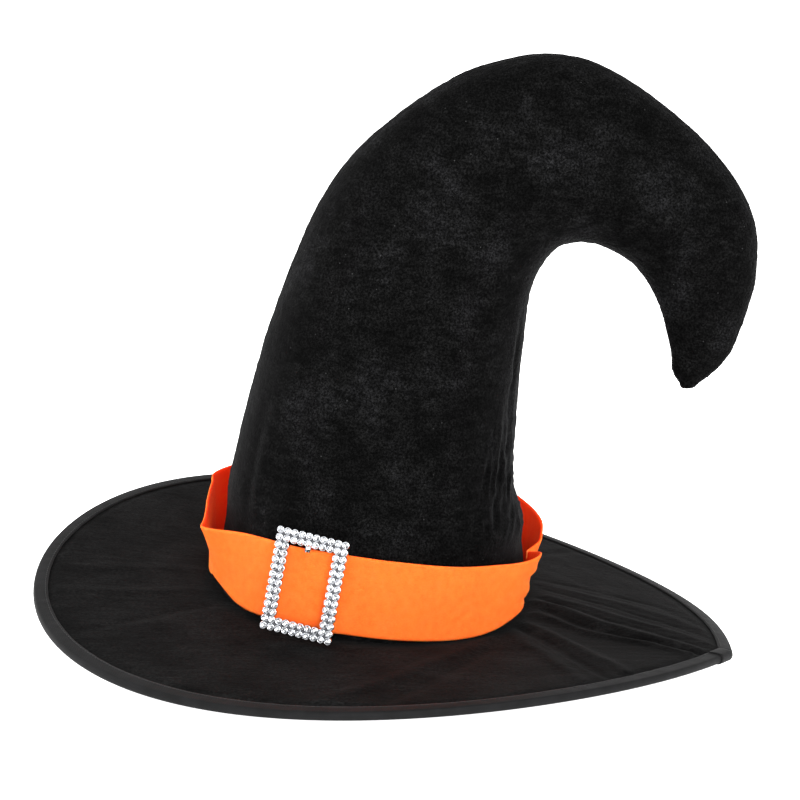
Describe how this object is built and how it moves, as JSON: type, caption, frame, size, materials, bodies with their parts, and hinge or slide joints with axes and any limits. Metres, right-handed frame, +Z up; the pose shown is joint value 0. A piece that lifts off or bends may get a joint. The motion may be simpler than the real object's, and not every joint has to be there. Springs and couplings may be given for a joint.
{
  "type": "witch hat",
  "caption": "Costume witch hat with a tall crown that hooks over to one side, a wide bound brim with one pointed corner, and a felt band with a stone-set slide buckle.",
  "frame": {"origin": "centre of the head opening at the sweatband's lower edge", "axes": "+Z up the crown, +X to the side that the peak hooks towards, -Y to the front where the buckle sits"},
  "size_m": [0.4392, 0.4255, 0.3679],
  "materials": {
    "crown_velour": "crushed velour with a short soft pile",
    "crown_foam": "foam laminate",
    "seam_cloth": "raw velour edges, stitched together",
    "sweatband_ribbon": "grosgrain ribbon",
    "brim_suede": "brushed suede-like cloth, slightly creased",
    "brim_lining": "plain woven lining",
    "brim_felt": "needled stiffener felt",
    "hoop_plastic": "drawn nylon",
    "binding_tape": "smooth woven bias tape with one stitch line",
    "orange_felt": "pressed craft felt with a fine fuzz",
    "tack_thread": "sewing thread",
    "buckle_metal": "plated die casting",
    "clear_stone": "cut clear acrylic stones"
  },
  "bodies": {
    "hat": {"sweatband": "sweatband_ribbon", "sweatband_join": "sweatband_ribbon", "foot_seam_allowance": "seam_cloth", "brim_top_cover": "brim_suede", "brim_stiffener": "brim_felt", "brim_under_cover": "brim_lining", "brim_hoop": "hoop_plastic", "edge_binding": "binding_tape", "binding_lap": "binding_tape", "crown_front_panel": "crown_velour", "crown_back_panel": "crown_velour", "crown_front_foam": "crown_foam", "crown_back_foam": "crown_foam", "crown_outer_allowance": "seam_cloth", "crown_inner_allowance": "seam_cloth", "hat_band": "orange_felt", "hat_band_lap": "orange_felt", "band_tacks": "tack_thread"},
    "peak": {"peak_front_panel": "crown_velour", "peak_back_panel": "crown_velour", "peak_front_foam": "crown_foam", "peak_back_foam": "crown_foam", "peak_seam_allowance": "seam_cloth"},
    "buckle": {"buckle_frame": "buckle_metal", "buckle_bar": "buckle_metal", "stones_outer_row": "clear_stone", "stones_inner_row": "clear_stone"}
  },
  "joints": [
    {"name": "peak_nod", "type": "hinge", "parent": "hat", "child": "peak", "pos_m": [0.1125, 0, 0.2955], "axis": [0, 1, 0], "range_deg": [-10, 10], "stiffness_Nm_per_rad": 0.6},
    {"name": "buckle_slide", "type": "slide", "parent": "hat", "child": "buckle", "axis": [0.9613, -0.2756, 0], "range_m": [-0.005, 0.005]}
  ]
}
